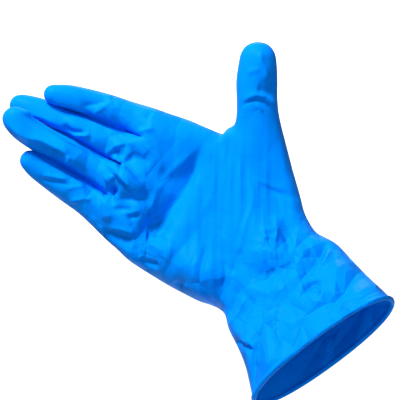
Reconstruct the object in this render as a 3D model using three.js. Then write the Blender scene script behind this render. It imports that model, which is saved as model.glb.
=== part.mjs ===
// A right nitrile exam glove in its worn form: one dipped film, hollow from the opening to the
// fingertips, with a rolled bead round the opening. The palm faces -Y, the thumb points up
// and the fingers point towards -X. The origin is the centre of the opening. Millimetres and degrees.
import * as THREE from "three";

// Driving sizes of the film, of its thick web between two fingers and of the bead rolled from it
const filmWall = 1;
const webWall = 4;
const beadRadius = 1.5;

// Driving sizes of the cuff, the wrist and the palm
const cuffLength = 59.6;
const cuffWidth = 95.5;
const cuffDepth = 40;
const wristWidth = 71;
const wristDepth = 40;
const palmLength = 72.5;
const palmWidth = 92.5;
const palmDepth = 30;
const knuckleLength = 30;
const knuckleDepth = 24;
const knuckleArch = 6;

// Driving sizes of the fingers, from the thumb's side to the far side. curl leans a fingertip forwards.
const fingerGap = 0.6;
const FINGERS = [
  { name: "index", length: 62.4, width: 19.6, tipWidth: 12, depth: 17.6, tipDepth: 12.4, curl: 14 },
  { name: "middle", length: 76, width: 19.4, tipWidth: 14, depth: 17.8, tipDepth: 12.8, curl: 1 },
  { name: "ring", length: 75, width: 18.8, tipWidth: 15.4, depth: 17.6, tipDepth: 12.8, curl: 22 },
  { name: "little", length: 59.6, width: 20.2, tipWidth: 12.6, depth: 17, tipDepth: 11.6, curl: 14 },
];

// Driving sizes of the thumb, from the edge of the palm to its tip
const thumbLength = 77;
const thumbWidth = 24.4;
const thumbDepth = 21.5;

// How the fingers fan out of the knuckles: the rise above -X at the knuckles and at the longest tip
const fanRise = 28.5;
const fanTipRise = 21.5;

// Facets: the strips over one finger's width and over one edge, and the rings of each stretch
const fingerStrips = 4;
const edgeStrips = 4;
const cuffRings = 10;
const heelRings = 2;
const rootRings = 8;
const knuckleRings = 4;
const fingerRings = 12;
const thumbRings = 10;
const beadStrips = 6;

const { degToRad, lerp, clamp } = THREE.MathUtils;

// Sections from the opening to the knuckles. along is the share of the stretch that the table covers,
// narrow and flat the shares of the way from the width and depth at its start to those at its end, and
// square the squareness of the section, which is 2 for an ellipse. heading is the rise above -X of the
// middle line, rise that of the section itself, and bend how far both lean back.
const CUFF_SECTIONS = [
  { along: 0, narrow: 0, flat: 0, square: 2.2, heading: 66, rise: 53.5, bend: 35 },
  { along: 0.15, narrow: 0.17, flat: 0, square: 2.1, heading: 63, rise: 54, bend: 35 },
  { along: 0.34, narrow: 0.39, flat: 0, square: 2.1, heading: 59, rise: 53.7, bend: 36 },
  { along: 0.58, narrow: 0.55, flat: 0.2, square: 2.2, heading: 56, rise: 53, bend: 36 },
  { along: 0.81, narrow: 0.66, flat: 0.5, square: 2.3, heading: 53, rise: 51.5, bend: 34 },
];
const PALM_SECTIONS = [
  { along: 0, narrow: 0, flat: 0, square: 2.3, heading: 44, rise: 49.8, bend: 28 },
  { along: 0.11, narrow: 0.15, flat: 0.2, square: 2.3, heading: 40, rise: 50.3, bend: 20 },
  { along: 0.21, narrow: 0.44, flat: 0.4, square: 2.4, heading: 39, rise: 49, bend: 13 },
  { along: 0.37, narrow: 0.6, flat: 0.65, square: 2.5, heading: 37.5, rise: 46, bend: 5 },
  { along: 0.53, narrow: 0.75, flat: 0.8, square: 2.6, heading: 38, rise: 43.8, bend: 1 },
  { along: 0.69, narrow: 0.86, flat: 0.9, square: 2.6, heading: 39, rise: 41.8, bend: 0 },
  { along: 0.85, narrow: 0.97, flat: 0.95, square: 2.6, heading: 38, rise: 39.8, bend: 0 },
];
const KNUCKLE_SECTIONS = [
  { along: 0, narrow: 0, flat: 0, square: 2.6, heading: 35, rise: 37.9, bend: 0 },
  { along: 0.32, narrow: 0.32, flat: 0.3, square: 2.6, heading: 31, rise: 36.3, bend: 0 },
  { along: 0.6, narrow: 0.52, flat: 0.6, square: 2.6, heading: 30, rise: 34.5, bend: 0 },
  { along: 1, narrow: 1, flat: 1, square: 2.6, heading: 30, rise: 32.5, bend: 0 },
];
const thumbRootStart = 0.21;

// Sections of a finger from the knuckles to where its tip starts to round off. along is the share of its
// length, free how far the section has left the palm's outline for its own, and slim and flat the shares
// of the way from its width and depth at the knuckles to those at its tip.
const FINGER_SECTIONS = [
  { along: 0, free: 0, slim: 0, flat: 0 },
  { along: 0.08, free: 0.62, slim: 0.05, flat: 0 },
  { along: 0.2, free: 0.97, slim: 0.16, flat: 0.06 },
  { along: 0.34, free: 1, slim: 0.27, flat: 0.15 },
  { along: 0.42, free: 1, slim: 0.33, flat: 0.3 },
  { along: 0.52, free: 1, slim: 0.45, flat: 0.38 },
  { along: 0.68, free: 1, slim: 0.62, flat: 0.66 },
  { along: 0.8, free: 1, slim: 0.76, flat: 0.78 },
  { along: 0.89, free: 1, slim: 1, flat: 1 },
];

// Sections of the thumb from the edge of the palm to where its tip starts to round off, in the same way
const THUMB_SECTIONS = [
  { along: 0, free: 0, wide: 1, deep: 1.2, heading: 87.5, rise: 135, bend: 0 },
  { along: 0.087, free: 0.17, wide: 1, deep: 1.2, heading: 87.5, rise: 133, bend: -2 },
  { along: 0.174, free: 0.47, wide: 1, deep: 1.16, heading: 86.5, rise: 128.5, bend: -6 },
  { along: 0.26, free: 0.7, wide: 1, deep: 1.1, heading: 84.5, rise: 121.5, bend: -9 },
  { along: 0.35, free: 0.83, wide: 1, deep: 1.04, heading: 81, rise: 116, bend: -10 },
  { along: 0.45, free: 0.94, wide: 1, deep: 1, heading: 81, rise: 109, bend: -10 },
  { along: 0.56, free: 1, wide: 1, deep: 1, heading: 86, rise: 102, bend: -10 },
  { along: 0.72, free: 1, wide: 0.98, deep: 0.97, heading: 92, rise: 94, bend: -8 },
  { along: 0.87, free: 1, wide: 0.88, deep: 0.88, heading: 92, rise: 90, bend: -5 },
];

// Folds and hollows pressed into the palm and the cuff, and ridges where the depth is negative. Each runs
// between two places, given as steps (0 the opening, 1 the wrist, 2 the thumb's web, 3 the knuckles) and
// as shares of half the width, from -1 on the far side to 1 on the thumb's side. reach is its half width
// and depth its depth, both as shares of the palm's depth.
const FOLDS = [
  { name: "palm crease by the thumb", face: "palm", from: [2.2, 0.74], to: [2.32, 0.14], reach: 0.22, depth: 0.13 },
  { name: "palm crease by the heel", face: "palm", from: [2.32, 0.14], to: [1.97, -0.72], reach: 0.25, depth: 0.14 },
  { name: "mound below the ring finger", face: "palm", from: [2.72, -0.25], to: [2.62, 0], reach: 0.3, depth: -0.07 },
  { name: "crease below the middle finger", face: "palm", from: [2.9, 0.08], to: [2.72, 0.4], reach: 0.2, depth: 0.08 },
  { name: "crease round the ball of the thumb", face: "palm", from: [1.92, 0.6], to: [1.5, -0.45], reach: 0.2, depth: 0.07 },
  { name: "ball of the thumb", face: "palm", from: [1.7, 0.85], to: [1.4, 0.35], reach: 0.35, depth: -0.1 },
  { name: "heel of the palm", face: "palm", from: [1.8, -0.6], to: [1.3, -0.5], reach: 0.3, depth: -0.08 },
  { name: "crumple over the wrist", face: "palm", from: [1.22, 0.5], to: [0.8, 0.3], reach: 0.2, depth: 0.08 },
  { name: "crumple across the wrist", face: "palm", from: [0.98, -0.15], to: [0.8, 0.1], reach: 0.2, depth: 0.06 },
  { name: "cuff fold by the thumb", face: "palm", from: [0.9, 0.9], to: [0.56, 0.35], reach: 0.2, depth: 0.08 },
  { name: "cuff fold on the far side", face: "palm", from: [0.85, -0.92], to: [0.62, -0.45], reach: 0.2, depth: 0.08 },
  { name: "long fold down the cuff", face: "palm", from: [0.56, -0.16], to: [0.15, -0.39], reach: 0.2, depth: 0.05 },
  { name: "index knuckle", face: "back", from: [2.7, 0.68], to: [2.95, 0.68], reach: 0.26, depth: -0.11 },
  { name: "middle knuckle", face: "back", from: [2.75, 0.22], to: [3, 0.22], reach: 0.26, depth: -0.12 },
  { name: "ring knuckle", face: "back", from: [2.7, -0.24], to: [2.95, -0.24], reach: 0.26, depth: -0.11 },
  { name: "little knuckle", face: "back", from: [2.55, -0.7], to: [2.8, -0.7], reach: 0.24, depth: -0.09 },
  { name: "hollow behind the knuckles", face: "back", from: [2.2, 0.45], to: [1.9, -0.35], reach: 0.4, depth: 0.08 },
  { name: "slack fold over the back", face: "back", from: [1.75, -0.5], to: [1.45, 0.3], reach: 0.2, depth: 0.06 },
  { name: "slack fold behind the wrist", face: "back", from: [1.02, -0.75], to: [0.95, 0.6], reach: 0.2, depth: 0.07 },
  { name: "fold down the back of the cuff", face: "back", from: [0.75, 0.3], to: [0.3, 0.42], reach: 0.2, depth: 0.06 },
];

// Gathers where the film is slack round the wrist: waves round the section, fading along the glove. reach is
// in the same steps as the folds.
const gatherCount = 9;
const gatherHeight = 0.7;
const gatherStep = 0.86;
const gatherReach = 0.3;

// A frame across the palm or a finger: ahead along it, side towards the thumb and back off the palm
function makeFrame(rise, bend) {
  const up = degToRad(rise);
  const lean = degToRad(bend);
  const ahead = new THREE.Vector3(-Math.cos(up) * Math.cos(lean), Math.sin(lean), Math.sin(up) * Math.cos(lean));
  const side = new THREE.Vector3(Math.sin(up), 0, Math.cos(up));
  return { ahead, side, back: ahead.clone().cross(side) };
}

// One column of a table at a place along it, on a smooth curve through the rows
function readColumn(rows, column, place) {
  const last = rows.length - 1;
  const row = (i) => rows[clamp(i, 0, last)];
  const slope = (i) => (row(i + 1)[column] - row(i - 1)[column]) / (row(i + 1).at - row(i - 1).at);
  const next = rows.findIndex(({ at }) => at > place);
  const start = next < 0 ? last - 1 : Math.max(next - 1, 0);
  const span = row(start + 1).at - row(start).at;
  const t = clamp((place - row(start).at) / span, 0, 1);
  const rest = 1 - t;
  return row(start)[column] * rest * rest * (1 + 2 * t) + slope(start) * span * t * rest * rest
    + row(start + 1)[column] * t * t * (3 - 2 * t) - slope(start + 1) * span * t * t * rest;
}

function readRow(rows, place) {
  const columns = Object.keys(rows[0]);
  return Object.fromEntries(columns.map((column) => [column, readColumn(rows, column, place)]));
}

// The middle line that starts at a point and follows a table's heading and bend
function makePath(start, length, rows) {
  const steps = 160;
  const points = [start.clone()];
  for (let i = 0; i < steps; i += 1) {
    const middle = ((i + 0.5) * length) / steps;
    const { ahead } = makeFrame(readColumn(rows, "heading", middle), readColumn(rows, "bend", middle));
    points.push(points[i].clone().addScaledVector(ahead, length / steps));
  }
  return (place) => {
    const share = clamp((place / length) * steps, 0, steps - 1e-6);
    const i = Math.floor(share);
    return points[i].clone().lerp(points[i + 1], share - i);
  };
}

// A stretch of the cuff's or the palm's sections, with its places and sizes in millimetres
function makeStretch(rows, start, length, from, to) {
  return rows.map(({ along, narrow, flat, ...angles }) => ({
    at: start + along * length,
    width: lerp(from.width, to.width, narrow),
    depth: lerp(from.depth, to.depth, flat),
    ...angles,
  }));
}

// Sizes and places that follow from the driving sizes
const knuckleWidth = FINGERS.reduce((sum, { width }) => sum + width, 0) + fingerGap * FINGERS.length;
const wristPlace = cuffLength;
const webPlace = wristPlace + palmLength;
const knucklePlace = webPlace + knuckleLength;
const opening = { width: cuffWidth, depth: cuffDepth };
const wrist = { width: wristWidth, depth: wristDepth };
const palm = { width: palmWidth, depth: palmDepth };
const knuckles = { width: knuckleWidth, depth: knuckleDepth };
const palmRows = [
  ...makeStretch(CUFF_SECTIONS, 0, cuffLength, opening, wrist),
  ...makeStretch(PALM_SECTIONS, wristPlace, palmLength, wrist, palm),
  ...makeStretch(KNUCKLE_SECTIONS, webPlace, knuckleLength, palm, knuckles),
];
const palmPath = makePath(new THREE.Vector3(), knucklePlace, palmRows);

// How far across the knuckles each finger starts, as a share of half the width, from the far side
const knuckleSquare = KNUCKLE_SECTIONS.at(-1).square;
const cornerShare = 1 - (1 - Math.SQRT1_2) * FINGERS[0].width / knuckleWidth;
function fingerEdge(count) {
  const crossed = FINGERS.slice(FINGERS.length - count);
  const reached = crossed.reduce((sum, { width }) => sum + width + fingerGap, 0);
  return clamp((2 * reached) / knuckleWidth - 1, -cornerShare, cornerShare);
}

// The angles at which the lengthwise lines cross every section, anticlockwise seen from the fingertips:
// the palm's from the far side to the thumb, the thumb's edge, the back's and the far edge
function lineAngles() {
  const face = [];
  for (let strip = 0; strip <= FINGERS.length * fingerStrips; strip += 1) {
    const finger = Math.min(Math.floor(strip / fingerStrips), FINGERS.length - 1);
    const share = lerp(fingerEdge(finger), fingerEdge(finger + 1), strip / fingerStrips - finger);
    const height = (1 - Math.abs(share) ** knuckleSquare) ** (1 / knuckleSquare);
    face.push(Math.atan2(height, share));
  }
  const palmLines = face.map((angle) => -angle);
  const backLines = face.toReversed();
  const edge = (from, to) => Array.from({ length: edgeStrips - 1 }, (_, i) => lerp(from, to, (i + 1) / edgeStrips));
  return [
    ...palmLines,
    ...edge(palmLines.at(-1), backLines[0]),
    ...backLines,
    ...edge(backLines.at(-1), palmLines[0] + 2 * Math.PI),
  ];
}
const LINES = lineAngles();
const faceStrips = FINGERS.length * fingerStrips;
const thumbEdgeLine = faceStrips + edgeStrips / 2;

// The places of the rings along the glove, from the film's start above the bead to the knuckles
const filmStart = Math.sqrt(beadRadius ** 2 - (filmWall / 2) ** 2);
function ringPlaces() {
  const rootPlace = wristPlace + thumbRootStart * palmLength;
  const stops = [filmStart, wristPlace, rootPlace, webPlace, knucklePlace];
  const counts = [cuffRings, heelRings, rootRings, knuckleRings];
  const places = counts.flatMap((count, stretch) =>
    Array.from({ length: count }, (_, i) => lerp(stops[stretch], stops[stretch + 1], i / count)));
  return [...places, knucklePlace];
}
const RINGS = ringPlaces();
const rootRing = cuffRings + heelRings;
const webRing = rootRing + rootRings;
const knuckleRing = webRing + knuckleRings;

// The place of a step of the FOLDS table: 0 the opening, 1 the wrist, 2 the thumb's web, 3 the knuckles
function stepPlace(step) {
  const stops = [0, wristPlace, webPlace, knucklePlace];
  const stretch = Math.min(Math.floor(step), stops.length - 2);
  return lerp(stops[stretch], stops[stretch + 1], step - stretch);
}

// How deep all the folds press the film in at a place and a share of half the width
function foldDepth(face, place, share, halfWidth) {
  const here = new THREE.Vector2(place, share * halfWidth);
  return FOLDS.filter((fold) => fold.face === face).reduce((sum, fold) => {
    const from = new THREE.Vector2(stepPlace(fold.from[0]), fold.from[1] * halfWidth);
    const to = new THREE.Vector2(stepPlace(fold.to[0]), fold.to[1] * halfWidth);
    const run = to.clone().sub(from);
    const reached = clamp(here.clone().sub(from).dot(run) / run.lengthSq(), 0, 1);
    const distance = here.distanceTo(from.addScaledVector(run, reached));
    return sum + fold.depth * palmDepth * Math.exp(-((distance / (fold.reach * palmDepth)) ** 2));
  }, 0);
}

function gatherRise(place, angle) {
  const fade = Math.exp(-(((place - stepPlace(gatherStep)) / (gatherReach * cuffLength)) ** 2));
  return gatherHeight * fade * Math.sin(gatherCount * angle);
}

// A point of the outer face at a place and an angle round the section
function palmPoint(place, angle) {
  const { width, depth, square, rise, bend } = readRow(palmRows, place);
  const { ahead, side, back } = makeFrame(rise, bend);
  const cos = Math.cos(angle);
  const sin = Math.sin(angle);
  const size = (Math.abs(cos) ** square + Math.abs(sin) ** square) ** (-1 / square);
  const share = size * cos;
  const face = sin < 0 ? "palm" : "back";
  const fold = foldDepth(face, place, share, width / 2) * Math.abs(sin) - gatherRise(place, angle);
  const arch = knuckleArch * (1 - share ** 2) * clamp((place - webPlace) / knuckleLength, 0, 1) ** 2;
  return palmPath(place)
    .addScaledVector(side, (share * width) / 2)
    .addScaledVector(back, (size * sin * depth) / 2 - Math.sign(sin) * fold)
    .addScaledVector(ahead, arch);
}

// The cage: points and faces of the outer face, gathered piece by piece
const points = [];
const quads = [];
function addPoint(point) {
  points.push(point);
  return points.length - 1;
}

// Skin between two closed rows of points, each anticlockwise seen from ahead
function addBand(near, far) {
  near.forEach((_, i) => {
    const next = (i + 1) % near.length;
    quads.push([near[i], near[next], far[next], far[i]]);
  });
}

// The glove from the opening to the knuckles, but for the hole that the thumb grows from
function inThumbHole(ring, line) {
  const inRings = ring >= rootRing && ring < webRing;
  return inRings && line >= faceStrips - 1 && line <= faceStrips + edgeStrips;
}
function addPalm() {
  const rings = RINGS.map((place) => LINES.map((angle) => addPoint(palmPoint(place, angle))));
  rings.slice(1).forEach((far, ring) => {
    LINES.forEach((_, line) => {
      const next = (line + 1) % LINES.length;
      if (!inThumbHole(ring, line)) {
        quads.push([rings[ring][line], rings[ring][next], far[next], far[line]]);
      }
    });
  });
  return rings;
}

// A rounded end over a closed row of points: rows that shrink, then a grid of faces. tip gives a point at an
// angle round the end and an angle down from its pole.
function addTip(row, sides, tip) {
  const [across, deep] = sides;
  const total = row.length;
  const poleStep = Math.PI / 8;
  const turn = (2 * Math.PI) / total;
  const start = -Math.PI / 2 - (across / 2) * turn;
  let last = row;
  for (let down = 3; down >= 2; down -= 1) {
    const next = row.map((_, i) => addPoint(tip(start + i * turn, down * poleStep)));
    addBand(last, next);
    last = next;
  }
  const cell = (i, j) => {
    if (j === 0) return last[i];
    if (i === across) return last[across + j];
    if (j === deep) return last[across + deep + across - i];
    if (i === 0) return last[(2 * across + deep + deep - j) % total];
    const x = (2 * i) / across - 1;
    const y = (2 * j) / deep - 1;
    const size = Math.max(Math.abs(x), Math.abs(y));
    const flatSide = Math.abs(x) >= Math.abs(y);
    const swing = flatSide ? (y / (x || 1)) * (deep / 2) : (-x / y) * (across / 2);
    const middle = flatSide ? (x < 0 ? Math.PI : 0) : Math.sign(y) * (Math.PI / 2);
    return addPoint(tip(middle + swing * turn, size * 2 * poleStep));
  };
  const grid = Array.from({ length: across + 1 }, (_, i) => Array.from({ length: deep + 1 }, (__, j) => cell(i, j)));
  for (let i = 0; i < across; i += 1) {
    for (let j = 0; j < deep; j += 1) {
      quads.push([grid[i][j], grid[i + 1][j], grid[i + 1][j + 1], grid[i][j + 1]]);
    }
  }
}

// A finger or the thumb, grown from a closed row of points. sides counts the row's faces on the palm's side
// and on one edge, and section gives the middle, frame and size at a share of the length.
function addDigit({ row, sides, rings, length, roundFrom, section }) {
  const turn = (2 * Math.PI) / row.length;
  const start = -Math.PI / 2 - (sides[0] / 2) * turn;
  const base = section(0);
  const local = row.map((index) => {
    const offset = points[index].clone().sub(base.middle);
    return [offset.dot(base.side), offset.dot(base.back), offset.dot(base.ahead)];
  });
  const place = ({ middle, side, back, ahead }, x, y, z) => middle.clone()
    .addScaledVector(side, x).addScaledVector(back, y).addScaledVector(ahead, z);
  let last = row;
  for (let ring = 1; ring <= rings; ring += 1) {
    const here = section((ring / rings) * roundFrom);
    const next = local.map(([x, y, z], i) => {
      const angle = start + i * turn;
      return addPoint(place(
        here,
        lerp(x, (here.width / 2) * Math.cos(angle), here.free),
        lerp(y, (here.depth / 2) * Math.sin(angle), here.free),
        lerp(z, 0, here.free),
      ));
    });
    addBand(last, next);
    last = next;
  }
  const end = section(roundFrom);
  addTip(last, sides, (angle, down) => place(
    end,
    (end.width / 2) * Math.cos(angle) * Math.sin(down),
    (end.depth / 2) * Math.sin(angle) * Math.sin(down),
    length * (1 - roundFrom) * Math.cos(down),
  ));
}

// The fingers lie side by side: each middle line keeps the two half widths and the gap to its neighbour,
// measured across the fan, and less than that across where the two curl apart
const fingerRows = FINGER_SECTIONS.map(({ along, ...rest }) => ({ at: along, ...rest }));
const longest = Math.max(...FINGERS.map(({ length }) => length));
const fanLength = longest + knuckleArch;
const fanRows = [
  { at: 0, heading: fanRise, bend: 0 },
  { at: fanLength, heading: fanTipRise, bend: 0 },
];
const fanPath = makePath(palmPath(knucklePlace), fanLength, fanRows);

function fingerWidth(finger, place) {
  return lerp(finger.width, finger.tipWidth, readColumn(fingerRows, "slim", place / finger.length));
}
function fingerDip(finger, place) {
  return (degToRad(finger.curl) * Math.max(place, 0) ** 2) / (2 * finger.length);
}

// How far across the knuckles a finger's middle starts, and how far ahead of the last ring the arch sets it
function knuckleStart(index) {
  const passed = FINGERS.slice(0, index).reduce((sum, { width }) => sum + width + fingerGap, 0);
  return knuckleWidth / 2 - passed - (FINGERS[index].width + fingerGap) / 2;
}
function fingerLead(index) {
  return knuckleArch * (1 - ((2 * knuckleStart(index)) / knuckleWidth) ** 2);
}
function neighbourPitch(index, fanPlace) {
  const [near, far] = FINGERS.slice(index, index + 2);
  const [nearPlace, farPlace] = [fanPlace - fingerLead(index), fanPlace - fingerLead(index + 1)];
  const apart = (fingerWidth(near, nearPlace) + fingerWidth(far, farPlace)) / 2 + fingerGap;
  const step = fingerDip(near, nearPlace) - fingerDip(far, farPlace);
  return Math.sqrt(Math.max(apart ** 2 - step ** 2, 0));
}
function fingerOffset(index, fanPlace) {
  const pitches = FINGERS.slice(1).map((_, i) => neighbourPitch(i, fanPlace));
  const starts = knuckleStart(0) + knuckleStart(FINGERS.length - 1);
  const toThumb = (starts + pitches.reduce((sum, pitch) => sum + pitch, 0)) / 2;
  return pitches.slice(0, index).reduce((left, pitch) => left - pitch, toThumb);
}
function fingerMiddle(index, place) {
  const fanPlace = place + fingerLead(index);
  const { side, back } = makeFrame(readColumn(fanRows, "heading", fanPlace), 0);
  return fanPath(fanPlace)
    .addScaledVector(side, fingerOffset(index, fanPlace))
    .addScaledVector(back, -fingerDip(FINGERS[index], place));
}
function fingerSection(index, share) {
  const finger = FINGERS[index];
  const place = share * finger.length;
  const probe = finger.length / 100;
  const ahead = fingerMiddle(index, place + probe).sub(fingerMiddle(index, place - probe)).normalize();
  const side = new THREE.Vector3(0, 1, 0).cross(ahead).normalize();
  const { free, flat } = readRow(fingerRows, share);
  return {
    middle: fingerMiddle(index, place),
    ahead,
    side,
    back: ahead.clone().cross(side),
    free,
    width: fingerWidth(finger, place),
    depth: lerp(finger.depth, finger.tipDepth, flat),
  };
}

// The short rows of points across the palm's thickness where two fingers part
function addWebs(knuckleRow) {
  return FINGERS.slice(1).map((_, web) => {
    const palmPoint = knuckleRow[(FINGERS.length - 1 - web) * fingerStrips];
    const backPoint = knuckleRow[faceStrips + edgeStrips + (web + 1) * fingerStrips];
    const between = Array.from({ length: edgeStrips - 1 }, (__, i) =>
      addPoint(points[palmPoint].clone().lerp(points[backPoint], (i + 1) / edgeStrips)));
    return [palmPoint, ...between, backPoint];
  });
}
function addFingers(knuckleRow) {
  const webs = addWebs(knuckleRow);
  const line = (i) => knuckleRow[i % LINES.length];
  const backStart = faceStrips + edgeStrips;
  const thumbEdge = Array.from({ length: edgeStrips - 1 }, (_, i) => line(faceStrips + 1 + i));
  const farEdge = Array.from({ length: edgeStrips - 1 }, (_, i) => line(backStart + faceStrips + 1 + i));
  FINGERS.forEach(({ length }, index) => {
    const palmStart = (FINGERS.length - 1 - index) * fingerStrips;
    const row = [
      ...Array.from({ length: fingerStrips + 1 }, (_, i) => line(palmStart + i)),
      ...(index === 0 ? thumbEdge : webs[index - 1].slice(1, -1)),
      ...Array.from({ length: fingerStrips + 1 }, (_, i) => line(backStart + index * fingerStrips + i)),
      ...(index === FINGERS.length - 1 ? farEdge : webs[index].slice(1, -1).reverse()),
    ];
    addDigit({
      row,
      sides: [fingerStrips, edgeStrips],
      rings: fingerRings,
      length,
      roundFrom: FINGER_SECTIONS.at(-1).along,
      section: (share) => fingerSection(index, share),
    });
  });
  return webs;
}

// The thumb, from the hole in the palm's edge to its tip
function addThumb(rings) {
  const palmLine = faceStrips - 1;
  const backLine = faceStrips + edgeStrips + 1;
  const across = backLine - palmLine;
  const row = [
    ...Array.from({ length: rootRings + 1 }, (_, i) => rings[webRing - i][palmLine]),
    ...Array.from({ length: across - 1 }, (_, i) => rings[rootRing][palmLine + 1 + i]),
    ...Array.from({ length: rootRings + 1 }, (_, i) => rings[rootRing + i][backLine]),
    ...Array.from({ length: across - 1 }, (_, i) => rings[webRing][backLine - 1 - i]),
  ];
  const heelSide = points[rings[rootRing][thumbEdgeLine]];
  const webSide = points[rings[webRing][thumbEdgeLine]];
  const rows = THUMB_SECTIONS.map(({ along, ...rest }) => ({ at: along * thumbLength, ...rest }));
  const path = makePath(heelSide.clone().lerp(webSide, 0.5), thumbLength, rows);
  addDigit({
    row,
    sides: [rootRings, across],
    rings: thumbRings,
    length: thumbLength,
    roundFrom: THUMB_SECTIONS.at(-1).along,
    section: (share) => {
      const { rise, bend, free, wide, deep } = readRow(rows, share * thumbLength);
      return {
        middle: path(share * thumbLength),
        ...makeFrame(rise, bend),
        free,
        width: wide * thumbWidth,
        depth: deep * thumbDepth,
      };
    },
  });
}

// The direction out of the film at every point, weighted by the area of the faces round it
function outwardDirections() {
  const outward = points.map(() => new THREE.Vector3());
  quads.forEach((quad) => {
    const [a, b, c, d] = quad.map((index) => points[index]);
    const area = c.clone().sub(a).cross(d.clone().sub(b));
    quad.forEach((index) => outward[index].add(area));
  });
  return outward.map((direction) => direction.normalize());
}

// The bead's round profile, from the outer face round the rim to the inner one, carried round the opening
function addBead(outerRow, innerRow, faces, all) {
  const { ahead } = makeFrame(palmRows[0].rise, palmRows[0].bend);
  const startAngle = Math.asin(filmWall / 2 / beadRadius);
  const rows = [outerRow];
  for (let strip = 1; strip < beadStrips; strip += 1) {
    const angle = lerp(startAngle, 2 * Math.PI - startAngle, strip / beadStrips);
    rows.push(outerRow.map((outer, i) => {
      const out = all[outer].clone().sub(all[innerRow[i]]).normalize();
      const middle = all[outer].clone().lerp(all[innerRow[i]], 0.5).addScaledVector(ahead, -filmStart);
      const point = middle.addScaledVector(ahead, beadRadius * Math.cos(angle));
      all.push(point.addScaledVector(out, beadRadius * Math.sin(angle)));
      return all.length - 1;
    }));
  }
  rows.push(innerRow);
  rows.slice(1).forEach((next, strip) => {
    rows[strip].forEach((_, i) => {
      const after = (i + 1) % outerRow.length;
      faces.push([rows[strip][i], next[i], next[after], rows[strip][after]]);
    });
  });
}

// The whole film: the outer face, the inner face one wall inside it, and the bead that joins them
function makeGlove() {
  const rings = addPalm();
  const webs = addFingers(rings[knuckleRing]);
  addThumb(rings);
  const outward = outwardDirections();
  const { ahead: webOut } = makeFrame(palmRows.at(-1).rise, 0);
  webs.flatMap((web) => web.slice(1, -1)).forEach((index) => outward[index].copy(webOut));
  const count = points.length;
  const inner = points.map((point, index) => point.clone().addScaledVector(outward[index], -filmWall));
  webs.flat().forEach((index) => inner[index].addScaledVector(webOut, filmWall - webWall));
  const all = [...points, ...inner];
  const faces = [...quads, ...quads.map(([a, b, c, d]) => [a, d, c, b].map((index) => index + count))];
  addBead(rings[0], rings[0].map((index) => index + count), faces, all);
  const geometry = new THREE.BufferGeometry();
  geometry.setAttribute("position", new THREE.Float32BufferAttribute(all.flatMap((p) => p.toArray()), 3));
  geometry.setIndex(faces.flatMap(([a, b, c, d]) => [a, b, c, a, c, d]));
  geometry.computeVertexNormals();
  return geometry;
}

const nitrileFilm = new THREE.MeshStandardMaterial({ color: "#0296f7", roughness: 0.55, metalness: 0 });
const glove = new THREE.Mesh(makeGlove(), nitrileFilm);
glove.name = "glove";

const group = new THREE.Group();
group.add(glove);

export default group;
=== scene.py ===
# %% [markdown]
# # A nitrile exam glove
# One thin film, dipped on a former and stripped off, with the last of it rolled into a bead round the
# opening. The film keeps the form that it takes when worn: fingers side by side and a raised thumb.
# Sizes are in millimetres until the mesh is made, and the origin is the centre of the opening.

import bpy
import numpy as np
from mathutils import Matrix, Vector


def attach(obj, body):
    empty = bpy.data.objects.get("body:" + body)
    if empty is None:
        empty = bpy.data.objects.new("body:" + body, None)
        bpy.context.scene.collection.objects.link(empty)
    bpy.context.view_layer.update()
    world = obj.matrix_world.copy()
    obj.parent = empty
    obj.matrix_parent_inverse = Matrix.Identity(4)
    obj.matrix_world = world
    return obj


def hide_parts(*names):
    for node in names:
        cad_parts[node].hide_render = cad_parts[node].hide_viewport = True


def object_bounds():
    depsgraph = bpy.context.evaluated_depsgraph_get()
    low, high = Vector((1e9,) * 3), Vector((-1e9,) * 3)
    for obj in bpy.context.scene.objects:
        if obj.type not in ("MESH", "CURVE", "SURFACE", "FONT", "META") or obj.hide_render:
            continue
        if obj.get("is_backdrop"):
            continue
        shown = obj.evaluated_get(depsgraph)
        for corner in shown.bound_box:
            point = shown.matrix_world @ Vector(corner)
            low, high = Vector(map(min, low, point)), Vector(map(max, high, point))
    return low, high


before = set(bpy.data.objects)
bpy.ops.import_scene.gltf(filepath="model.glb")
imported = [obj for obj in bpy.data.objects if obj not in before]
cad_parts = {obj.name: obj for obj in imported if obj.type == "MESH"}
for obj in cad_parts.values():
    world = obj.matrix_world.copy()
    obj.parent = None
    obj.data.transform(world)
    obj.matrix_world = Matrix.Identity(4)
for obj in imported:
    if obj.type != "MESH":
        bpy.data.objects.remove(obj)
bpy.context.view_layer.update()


def corners():
    """Lowest and highest corner of the shown object, as plain lists in metres."""
    return [list(corner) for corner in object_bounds()]


# %% [markdown]
# ## Driving sizes
# The sizes of an adult's glove between M and L, in millimetres and degrees. The real film is 0.1 mm thick.
# It is drawn 0.3 mm thick at the bead, and the inner face lies 0.8 mm deep past it, where no edge shows,
# because its coarser grid would cut the outer face in the tightest folds.

# %% Driving sizes
MM = 0.001
FILM = 0.3
LINING_DEPTH = 0.8
LINING_SPREAD = 1.5  # what a valley's reach gains on the inner face
BEAD_RADIUS = 1.35
SKIN_LEVELS = 2  # rounds of smoothing for the outer face, one more than for the inner one
CAGE_SWELL = 0.14  # what smoothing takes off the cage

CUFF = {"length": 59.6, "width": 95.5, "depth": 40.0}
WRIST = {"width": 71.0, "depth": 40.0}
PALM = {"length": 72.5, "width": 92.5, "depth": 30.0}
KNUCKLES = {"length": 30.0, "depth": 24.0, "arch": 6.0}
THUMB = {"length": 77.0, "width": 24.4, "depth": 21.5}
THUMB_ROOT = 0.21  # share of the palm's length at which the thumb's hole starts
FINGER_GAP = 0.6  # between two fingers' roots
FINGER_PRESS = 0.5  # how far two fingers press into each other
FAN_RISE, FAN_TIP_RISE = 28.5, 21.5


def named(names, rows):
    """A table's rows, each with its values named."""
    return [dict(zip(names, row)) for row in rows]


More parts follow.
